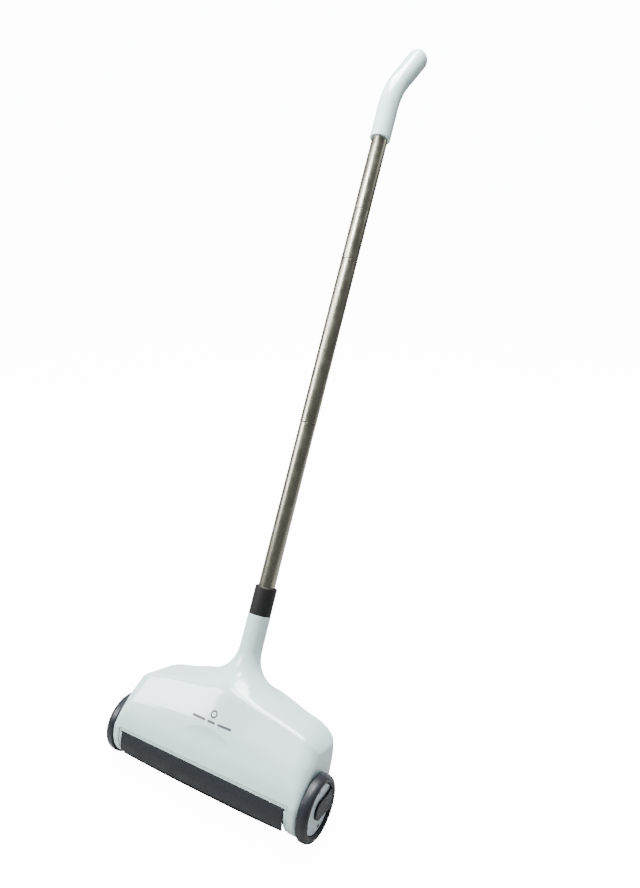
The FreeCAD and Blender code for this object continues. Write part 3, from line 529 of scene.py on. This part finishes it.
def contour(field, low, high, step):
    """The surface where a field is zero, with a corner kept wherever the surface has one.

    Every grid edge that the surface crosses gives a point and a normal, measured over PROBE to each
    side; a cell's vertex is where the planes through its points meet best.
    """
    axes = [np.arange(bottom, top + step, step) for bottom, top in zip(low, high)]
    sizes = [len(axis) for axis in axes]
    values = np.empty(sizes, np.float32)
    for index, x in enumerate(axes[0]):
        y, z = np.meshgrid(axes[1], axes[2], indexing="ij")
        values[index] = field(np.full(y.shape, x), y, z)
    inside = values < 0
    spots, normals, cells, quads = [], [], [], []
    for axis in range(3):
        near = [slice(None)] * 3
        far = [slice(None)] * 3
        near[axis], far[axis] = slice(0, -1), slice(1, None)
        starts = np.argwhere(inside[tuple(near)] != inside[tuple(far)])
        others = [other for other in range(3) if other != axis]
        keep = np.all([(starts[:, other] > 0) & (starts[:, other] < sizes[other] - 1)
                       for other in others], axis=0)
        starts = starts[keep]
        base = np.stack([axes[part][starts[:, part]] for part in range(3)], axis=1)
        below = inside[tuple(starts.T)]
        left, right_end = np.zeros(len(starts)), np.full(len(starts), step)
        for _ in range(12):
            middle = (left + right_end) / 2
            trial = base.copy()
            trial[:, axis] += middle
            same = (field(*trial.T) < 0) == below
            left, right_end = np.where(same, middle, left), np.where(same, right_end, middle)
        base[:, axis] += (left + right_end) / 2
        slope = np.empty_like(base)
        for part in range(3):
            ahead, behind = base.copy(), base.copy()
            ahead[:, part] += PROBE
            behind[:, part] -= PROBE
            slope[:, part] = field(*ahead.T) - field(*behind.T)
        slope /= np.maximum(np.linalg.norm(slope, axis=1, keepdims=True), 1e-9)
        ring = []
        for first, second in ((-1, -1), (0, -1), (0, 0), (-1, 0)):
            cell = starts.copy()
            cell[:, others[0]] += first
            cell[:, others[1]] += second
            ring.append(np.ravel_multi_index(cell.T, sizes))
            spots.append(base)
            normals.append(slope)
        cells += ring
        ring = np.stack(ring, axis=1)
        flip = below if axis != 1 else ~below
        ring[~flip] = ring[~flip][:, ::-1]
        quads.append(ring)
    spots, normals, cells = np.concatenate(spots), np.concatenate(normals), np.concatenate(cells)
    used, which = np.unique(cells, return_inverse=True)
    count = np.bincount(which)

    def total(weights):
        return np.bincount(which, weights=weights, minlength=len(used))

    mean = np.stack([total(spots[:, part]) / count for part in range(3)], axis=1)
    local = spots - mean[which]
    offset = np.einsum("ij,ij->i", normals, local)
    matrix = np.empty((len(used), 3, 3))
    target = np.empty((len(used), 3))
    for row in range(3):
        target[:, row] = total(normals[:, row] * offset)
        for column in range(3):
            matrix[:, row, column] = total(normals[:, row] * normals[:, column])
    matrix += np.eye(3) * 0.04 * count[:, None, None]
    moved = np.linalg.solve(matrix, target[:, :, None])[:, :, 0]
    limit = np.abs(moved).max(axis=1, keepdims=True)
    moved *= np.minimum(1, step * 0.9 / np.maximum(limit, 1e-9))
    quads = np.searchsorted(used, np.concatenate(quads))
    return mean + moved, quads.tolist()


def make_housing():
    """White shell with its neck, cheeks, door recess and every room inside it."""
    low = (-SHELL_HALF - 3.1, -52.3, HIP_RAD * math.sin(math.radians(MOUTH_FRONT)) - 8.2)
    high = (SHELL_HALF + 3.1, 52.3, NECK_TOP + 3.7)
    points, faces = contour(shell, low, high, STEP)
    new_piece("housing_shell", points, faces, "head", "gloss_white", "main_housing", sharp=38)


def front_at(x, z):
    """How far back the front face lies at a place of the front view."""
    near, far = np.full(np.shape(x), -60.0), np.full(np.shape(x), 0.0)
    for _ in range(24):
        middle = (near + far) / 2
        hit = shell_outside(x, middle, z) < 0
        near, far = np.where(hit, near, middle), np.where(hit, middle, far)
    return far


# --- emblem --------------------------------------------------------------------------------------

EMBLEM_UP = 69.5
EMBLEM_RING, EMBLEM_HOLE = 5.2, 3.0
DASH_UP, DASH_HALF_THICK = 59.5, 1.5


def print_on_front(rail_in, rail_out, closed=False):
    """A thin printed band between two rails of the front view, following the front face."""
    inner, outer = np.array(rail_in), np.array(rail_out)
    count = len(inner)
    points, faces = [], []
    for depth in (-0.12, 0.5):
        for rail in (inner, outer):
            face = front_at(rail[:, 0], rail[:, 1])
            points += [(x, y + depth, z) for (x, z), y in zip(rail, face)]
    for index in range(count if closed else count - 1):
        after = (index + 1) % count
        for a, b in ((0, 1), (1, 3), (3, 2), (2, 0)):
            faces.append((a * count + index, a * count + after, b * count + after, b * count + index))
    if not closed:
        faces += [(0, count, 3 * count, 2 * count),
                  (count - 1, 2 * count - 1, 4 * count - 1, 3 * count - 1)]
    return points, faces


def make_painted_recess_shade():
    """A thin grey band of painted shade round the dust door's recess, standing in for the shadow of the
    recess step.
    """
    out, thick = DOOR_HALF + FRAME_MARGIN, 0.4
    across = np.linspace(-out, out, 90)
    down = np.linspace(FRAME_LOW, FRAME_TOP, 24)
    lines = [print_on_front([(x, FRAME_TOP - thick) for x in across],
                            [(x, FRAME_TOP + thick) for x in across])]
    for side in (-1, 1):
        lines.append(print_on_front([(side * (out - thick), z) for z in down],
                                    [(side * (out + thick), z) for z in down]))
    new_piece("painted_recess_shade", *joined(*lines), "head", "gloss_white", material=RECESS_SHADE_PAINT)


def make_emblem():
    """A plain ring over three dashes, printed on the front face and following it."""
    turns = [2 * math.pi * step / 48 for step in range(48)]
    rails = [[(radius * math.cos(a), EMBLEM_UP + radius * math.sin(a)) for a in turns]
             for radius in (EMBLEM_HOLE, EMBLEM_RING)]
    shapes = [print_on_front(*rails, True)]
    thick = DASH_HALF_THICK
    for middle, half in ((-21, 11), (0, 6), (21, 11)):
        spots = np.linspace(-1, 1, 25)
        into_end = ((np.abs(spots) * half - half + thick) / thick).clip(0, 1)
        swell = thick * np.minimum(1, np.sqrt(np.maximum(1 - into_end ** 2, 0.02)))
        shapes.append(print_on_front(
            [(middle + spot * half, DASH_UP - wide) for spot, wide in zip(spots, swell)],
            [(middle + spot * half, DASH_UP + wide) for spot, wide in zip(spots, swell)]))
    new_piece("emblem", *joined(*shapes), "head", "gloss_white", material=PRINT)


# --- rear cover ----------------------------------------------------------------------------------

SCREW_RAD = 3.2


def make_rear_cover():
    """Rounded cover with a raised panel in its middle, and its four slotted screws."""
    middle = (COVER_LOW[2] + COVER_HIGH[2]) / 2
    half_wide, half_tall = COVER_HIGH[0], (COVER_HIGH[2] - COVER_LOW[2]) / 2

    def outline(inset, corner):
        wide, tall = half_wide - inset, half_tall - inset
        return rounded([(side * wide, middle + rise * tall, corner)
                        for side, rise in ((-1, -1), (1, -1), (1, 1), (-1, 1))])

    face = COVER_HIGH[1]
    plate = block(outline(0, COVER_CORNER), face - 1.7, face, "Y")
    raised = block(outline(11, 4), face - 0.3, face + 0.7, "Y")
    cover = new_piece("service_cover", *joined(plate, raised), "head", "gloss_white", "rear_cover")
    bevel(cover, 0.45)
    low, high = span("cover_screws")
    screws = []
    for side in (-1, 1):
        for up_at in (low[2] + SCREW_RAD, high[2] - SCREW_RAD):
            place = (side * (high[0] - SCREW_RAD), up_at)
            screws += slotted_screw(place, face, high[1] - face)
    heads = new_piece("service_screws", *joined(*screws), "head", "steel", "cover_screws", sharp=30)
    bevel(heads, 0.18, 2)


def slotted_screw(place, face, tall):
    """A cheese head in two halves with the slot between them, on a thin base."""
    radius, slot = SCREW_RAD, 0.4
    parts = []
    for sign in (-1, 1):
        arc = [(radius * math.cos(a), radius * math.sin(a)) for a in
               np.linspace(math.asin(slot / radius), math.pi - math.asin(slot / radius), 25)]
        parts.append([(place[0] + sign * across, place[1] + sign * up_part) for across, up_part in arc])
    base = [(place[0] + radius * math.cos(a), place[1] + radius * math.sin(a))
            for a in np.linspace(0, 2 * math.pi, 48, endpoint=False)]
    halves = [block(np.array(part), face + tall * 0.45, face + tall, "Y") for part in parts]
    return halves + [block(np.array(base), face - 0.4, face + tall * 0.45, "Y")]


# --- wheels --------------------------------------------------------------------------------------

WHEEL_IN, WHEEL_OUT = span("tyre_right")[0][0], span("tyre_right")[1][0]
WHEEL_RAD = span("tyre_right")[1][1]
FACE_AT = span("inlay_right")[0][0]
INLAY_TOP = span("inlay_right")[1][0]
INLAY_RAD = span("inlay_right")[1][1]
LEVER_LOW, LEVER_HIGH = span("latch_lever")
LEVER_RISE = math.radians(18)
LEVER_TIP = 12.5
LEVER_FLARE_AT, LEVER_FLARE_HALF = 28.0, 15.5


def make_wheels():
    """A rounded tyre and a silver inlay on each side, the left hub cap and the inlay's two marks."""
    seat = INLAY_RAD + 0.5
    for name, side in (("left", -1), ("right", 1)):
        body = f"wheel_{name}"
        tyre = lathe([
            (WHEEL_IN, 40, 0), (WHEEL_IN, WHEEL_RAD - 0.9, 0.4), (WHEEL_IN + 1.2, WHEEL_RAD, 1.5),
            (WHEEL_OUT - 6, WHEEL_RAD, 6), (WHEEL_OUT - 2.0, WHEEL_RAD - 1.6, 4),
            (WHEEL_OUT, WHEEL_RAD - 4.6, 3), (WHEEL_OUT - 0.1, WHEEL_RAD - 6.9, 1.6),
            (FACE_AT + 1.9, INLAY_RAD + 0.8, 1.2), (FACE_AT + 0.6, seat, 0), (FACE_AT, seat, 0),
            (FACE_AT, 40, 0),
        ], side=side, steps=144)
        new_piece(f"{name}_tyre", *tyre, body, "tyre", f"tyre_{name}", sharp=50)
        inlay = lathe([(FACE_AT, 8.5, 0), (FACE_AT, INLAY_RAD, 0), (INLAY_TOP, INLAY_RAD, 0.45),
                       (INLAY_TOP, 8.5, 0.3)], side=side, steps=144)
        new_piece(f"{name}_inlay", *inlay, body, "silver_inlay", f"inlay_{name}", sharp=50)
    cap = lathe([(INLAY_TOP - 0.2, 0, 0), (INLAY_TOP - 0.2, LEVER_TIP, 0), (INLAY_TOP + 1.6, LEVER_TIP, 1),
                 (LEVER_HIGH[0] - 0.6, LEVER_TIP - 2.6, 2.5), (LEVER_HIGH[0] - 0.7, 7.2, 0.5),
                 (LEVER_HIGH[0] - 1.2, 6.6, 0.4), (LEVER_HIGH[0] - 1.0, 0, 0)], side=-1)
    new_piece("left_hub_cap", *cap, "wheel_left", "slate_plastic", "hub_cap_left", sharp=50)
    under, over = INLAY_TOP - 0.2, INLAY_TOP + 0.12
    marks = [lathe([(under, hole, 0), (under, radius, 0), (over, radius, 0), (over, hole, 0)],
                   centre=place, steps=32)
             for hole, radius, place in ((0.7, 2.4, (-9.6, 23.6)), (0, 2.3, (11.2, -23.5)))]
    new_piece("inlay_marks", *joined(*marks), "wheel_right", "silver_inlay", material=PRINT)


def make_lever():
    """The tongue: round at the middle, flared where it meets the wheel's rim."""
    reach = INLAY_RAD - 0.3
    tip = [(LEVER_TIP * math.cos(a), LEVER_TIP * math.sin(a))
           for a in np.linspace(math.pi * 0.52, math.pi * 1.48, 30)]
    flare = rounded([(1.5, LEVER_TIP, 0), (16, 12.2, 60), (LEVER_FLARE_AT, LEVER_FLARE_HALF, 0)],
                    closed=False)
    end_angle = math.atan2(LEVER_FLARE_HALF, LEVER_FLARE_AT)
    end = [(reach * math.cos(a), reach * math.sin(a)) for a in np.linspace(-end_angle, end_angle, 24)]
    outline = tip + [(out, -across) for out, across in flare] + end + [tuple(spot) for spot in flare[::-1]]
    cos, sin = math.cos(LEVER_RISE), math.sin(LEVER_RISE)
    turned = np.array([(out * cos - across * sin, out * sin + across * cos) for out, across in outline])
    piece = new_piece("tongue_lever", *block(turned, LEVER_LOW[0], LEVER_HIGH[0] - 0.2), "latch",
                      "slate_plastic", "latch_lever", sharp=30)
    bevel(piece, 1.0, 4)


# --- dust door -----------------------------------------------------------------------------------


def curved_plate(half, inner, outer, low, top, bow):
    """A plate curved about the axle, whose lower edge rises by the bow towards its ends."""
    lowest = outer * math.sin(math.radians(low))
    wide, tall = 80, 22
    points, faces = [], []
    for radius in (inner, outer):
        for i in range(wide + 1):
            x = half * (2 * i / wide - 1)
            bottom = math.degrees(math.asin((lowest + bow * (x / DOOR_HALF) ** 2) / outer))
            for j in range(tall + 1):
                angle = bottom + (top - bottom) * j / tall
                points.append((x, *front_polar(radius, angle)))
    layer = (wide + 1) * (tall + 1)
    rim = []
    for i in range(wide):
        for j in range(tall):
            spot = i * (tall + 1) + j
            for start in (0, layer):
                faces.append(tuple(start + spot + more for more in (0, 1, tall + 2, tall + 1)))
        rim += [(i * (tall + 1), (i + 1) * (tall + 1)),
                (i * (tall + 1) + tall, (i + 1) * (tall + 1) + tall)]
    for j in range(tall):
        rim += [(j, j + 1), (wide * (tall + 1) + j, wide * (tall + 1) + j + 1)]
    faces += [(a, b, layer + b, layer + a) for a, b in rim]
    return points, faces


def make_door():
    """Curved door on a stub pin at each top corner."""
    inner, outer, low, top, bow = 42.9, 44.4, -41.0, 0.5, 1.6
    door = new_piece("front_door", *curved_plate(DOOR_HALF, inner, outer, low, top, bow), "door",
                     "slate_plastic", "dust_door", sharp=30)
    bevel(door, 0.5)
    pin_at = front_polar((inner + outer) / 2, top)
    pins = [lathe([(DOOR_HALF - 3, 0, 0), (DOOR_HALF - 3, 1.2, 0), (DOOR_HIGH[0], 1.2, 0.4),
                   (DOOR_HIGH[0], 0, 0)], side=side, centre=pin_at, steps=24) for side in (-1, 1)]
    new_piece("door_pins", *joined(*pins), "door", "slate_plastic")


def make_front_lip():
    """Rubber lip inside the door; it hangs below the door, most in the middle."""
    half = span("front_lip")[1][0]
    inner, outer, low, top, bow = 42.0, 42.8, -61.0, -20.0, 6.0
    piece = new_piece("lip_of_door", *curved_plate(half, inner, outer, low, top, bow), "door",
                      "lip_rubber", "front_lip", sharp=30)
    bevel(piece, 0.25, 2)


# --- brush ---------------------------------------------------------------------------------------

CORE_RAD = span("brush_core")[1][1]
BRISTLE_HALF = span("bristles")[1][0]
BRISTLE_TIP = 42.0
BRUSH_ROWS = 12
TUFTS = 62
HAIRS = 10
END_TRIM = 4.0


def make_bristles():
    """Tufts of nylon in rows that wind from both ends towards the middle, on a thin backing.

    The tufts are trimmed shorter towards the roller's ends.
    """
    draw = random.Random(11)
    shapes_points, shapes_faces = [], []
    for row in range(BRUSH_ROWS):
        for tuft in range(TUFTS):
            x = BRISTLE_HALF * (2 * (tuft + 0.5) / TUFTS - 1)
            angle = 2 * math.pi * row / BRUSH_ROWS + math.radians(50) * abs(x) / BRISTLE_HALF
            for _ in range(HAIRS):
                root_x = x + draw.uniform(-1.4, 1.4)
                root_angle = angle + draw.uniform(-1.3, 1.3) / CORE_RAD
                lean_x = draw.gauss(0, 1.9)
                lean_angle = draw.gauss(0, 0.05)
                length = BRISTLE_TIP - abs(draw.gauss(0, 0.5)) - END_TRIM * (abs(x) / BRISTLE_HALF) ** 4
                start = len(shapes_points)
                for level, thick in ((0.0, 0.38), (0.6, 0.34)):
                    radius = CORE_RAD + (length - CORE_RAD) * level
                    along = root_x + lean_x * level * level
                    around = root_angle + lean_angle * level * level
                    for corner in range(3):
                        twist = 2 * math.pi * corner / 3
                        side_step = thick * math.sin(twist) / radius
                        shapes_points.append((along + thick * math.cos(twist),
                                              radius * math.cos(around + side_step),
                                              radius * math.sin(around + side_step)))
                tip_x = max(-BRISTLE_HALF - 0.6, min(BRISTLE_HALF + 0.6, root_x + lean_x))
                shapes_points.append((tip_x, length * math.cos(root_angle + lean_angle),
                                      length * math.sin(root_angle + lean_angle)))
                shapes_faces.append((start + 2, start + 1, start))
                for corner in range(3):
                    after = (corner + 1) % 3
                    shapes_faces.append((start + corner, start + after, start + 3 + after,
                                         start + 3 + corner))
                    shapes_faces.append((start + 3 + corner, start + 3 + after, start + 6))
    backing = lathe([(-BRISTLE_HALF, CORE_RAD - 0.3, 0), (-BRISTLE_HALF, CORE_RAD + 1.2, 0.4),
                     (BRISTLE_HALF, CORE_RAD + 1.2, 0.4), (BRISTLE_HALF, CORE_RAD - 0.3, 0)], steps=64)
    points, faces = joined((shapes_points, shapes_faces), backing)
    new_piece("brush_tufts", points, faces, "brush", "bristle", "bristles", sharp=60)


# --- pole and grip -------------------------------------------------------------------------------


def make_pole():
    """The four tubes and the collar where they enter the neck."""
    centre = (0.0, POLE_BACK)
    for node, name in (("tube_lower", "lower_tube"), ("tube_middle", "middle_tube"),
                       ("tube_short", "short_tube"), ("tube_upper", "upper_tube")):
        low, high = span(node)
        radius = high[0]
        tube = lathe([(low[2], radius - 1.2, 0), (low[2], radius, 0.35), (high[2], radius, 0.35),
                      (high[2], radius - 1.2, 0)], "Z", centre)
        new_piece(name, *tube, "head", "tube_metal", node, sharp=50)
    low, high = span("collar")
    radius, bore = high[0], span("tube_lower")[1][0]
    collar = lathe([(low[2], bore, 0), (low[2], radius - 0.5, 0.3), (low[2] + 0.7, radius, 0.6),
                    (high[2] - 1.6, radius, 1.2), (high[2], radius - 1.3, 0.6), (high[2], bore, 0)],
                   "Z", centre)
    new_piece("pole_collar", *collar, "head", "black_plastic", "collar", sharp=50)


GRIP_LOW = span("handle_grip")[0][2]
GRIP_RAD = span("handle_grip")[1][0]
GRIP_BEND_UP = 990.0
GRIP_BEND_RAD = 110.0
GRIP_ANGLE = math.radians(31)
GRIP_REACH = 81.0
HANG_RAD, HANG_DEPTH = 3.0, 14.0


def grip_frame(travel):
    """The grip's centre line at a distance from its foot: a place and how far it leans back."""
    straight = GRIP_BEND_UP - GRIP_LOW
    arc = GRIP_BEND_RAD * GRIP_ANGLE
    angle = min(max(travel - straight, 0), arc) / GRIP_BEND_RAD
    beyond = max(travel - straight - arc, 0)
    up_to = min(travel, straight)
    back = GRIP_BEND_RAD * (1 - math.cos(angle)) + beyond * math.sin(angle)
    rise = GRIP_LOW + up_to + GRIP_BEND_RAD * math.sin(angle) + beyond * math.cos(angle)
    return back, rise, angle


def make_grip():
    """The bent grip, swept along its centre line, with the hanging hole in its end."""
    bore = span("tube_upper")[1][0] + 0.05
    end = GRIP_BEND_UP - GRIP_LOW + GRIP_BEND_RAD * GRIP_ANGLE + GRIP_REACH
    stations = [(12, 0.0), (12, bore), (0, bore)]
    stations += [(0.6 - 0.6 * math.cos(a), GRIP_RAD - 0.75 + 0.75 * math.sin(a))
                 for a in np.linspace(0, math.pi / 2, 6)]
    stations += [(travel, GRIP_RAD + 0.8 * float(smooth_step(np.array(travel), 90, end)))
                 for travel in np.linspace(3, end, 90)]
    top = stations[-1][1]
    stations += [(end + top * math.sin(a), top * math.cos(a))
                 for a in np.linspace(0, math.acos((HANG_RAD + 0.5) / top), 20)[1:]]
    tip = stations[-1][0]
    stations += [(tip - 0.4, HANG_RAD), (tip - HANG_DEPTH, HANG_RAD), (tip - HANG_DEPTH, 0.0)]
    steps = 72
    points, faces = [], []
    for travel, radius in stations:
        back, rise, angle = grip_frame(travel)
        for step in range(steps):
            turn_angle = 2 * math.pi * step / steps
            across, along = radius * math.cos(turn_angle), radius * math.sin(turn_angle)
            points.append((across, POLE_BACK + back + along * math.cos(angle),
                           rise - along * math.sin(angle)))
    for ring in range(len(stations) - 1):
        for step in range(steps):
            after = (step + 1) % steps
            faces.append((ring * steps + step, ring * steps + after,
                          (ring + 1) * steps + after, (ring + 1) * steps + step))
    new_piece("hand_grip", points, faces, "head", "gloss_white", "handle_grip", sharp=50)


# --- the whole sweeper ---------------------------------------------------------------------------

for entry in frame["record"]["subparts"]:
    node = frame["nodes"][entry["node"]]
    node.data.materials.clear()
    node.data.materials.append(MATERIALS[entry["material_slot"]])

make_housing()
make_painted_recess_shade()
make_emblem()
make_rear_cover()
make_wheels()
make_lever()
make_door()
make_front_lip()
make_bristles()
make_pole()
make_grip()


# --- floor and light -----------------------------------------------------------------------------

BACKDROP = 14.0
AMBIENT = 0.27


def make_floor():
    """A plain pale floor that the camera sees as the bright studio backdrop."""
    half = 60
    mesh = bpy.data.meshes.new("floor")
    mesh.from_pydata([(-half, -half, 0), (half, -half, 0), (half, half, 0), (-half, half, 0)], [],
                     [(0, 1, 2, 3)])
    floor = bpy.data.objects.new("floor", mesh)
    scene.collection.objects.link(floor)
    look = Shader("floor_paint", 0.9)
    drift = look.ramp(look.noise(900, 2), 0, 1)
    paint = look.mix(drift, (0.34, 0.345, 0.345, 1), (0.38, 0.38, 0.38, 1))
    look.feed(paint, look.shader.inputs["Base Color"])
    shown = look.add("ShaderNodeLightPath").outputs["Is Camera Ray"]
    look.feed((1.0, 1.0, 1.0, 1), look.shader.inputs["Emission Color"])
    look.feed(look.product(shown, BACKDROP), look.shader.inputs["Emission Strength"])
    mesh.materials.append(look.material)


def add_light(name, at, target, size, power):
    """A round soft lamp of a size in metres and a power in watts."""
    lamp = bpy.data.lights.new(name, "AREA")
    lamp.shape = "DISK"
    lamp.size = size
    lamp.energy = power
    holder = bpy.data.objects.new(name, lamp)
    holder.location = at
    holder.rotation_euler = (Vector(target) - Vector(at)).to_track_quat("-Z", "Y").to_euler()
    scene.collection.objects.link(holder)


def make_world():
    """Soft even light, with a brighter backdrop for the camera alone."""
    world = bpy.data.worlds.new("studio")
    world.use_nodes = True
    scene.world = world
    tree = world.node_tree
    back = tree.nodes["Background"]
    back.inputs["Color"].default_value = (0.97, 0.99, 1.0, 1)
    shown = tree.nodes.new("ShaderNodeLightPath").outputs["Is Camera Ray"]
    strength = tree.nodes.new("ShaderNodeMapRange")
    strength.inputs["To Min"].default_value = AMBIENT
    strength.inputs["To Max"].default_value = BACKDROP
    tree.links.new(shown, strength.inputs["Value"])
    tree.links.new(strength.outputs["Result"], back.inputs["Strength"])


make_floor()
make_world()
add_light("key", (-1.9, -1.2, 2.0), (0, 0, 0.2), 1.3, 118)
add_light("top", (-0.2, 0.9, 2.6), (0, 0.1, 0.2), 1.3, 210)
add_light("grip", (-0.22, -0.05, 1.4), (0, 0.56, 0.94), 0.35, 17)
add_light("rim", (1.6, 1.8, 1.6), (0, 0.2, 0.5), 1.0, 6)
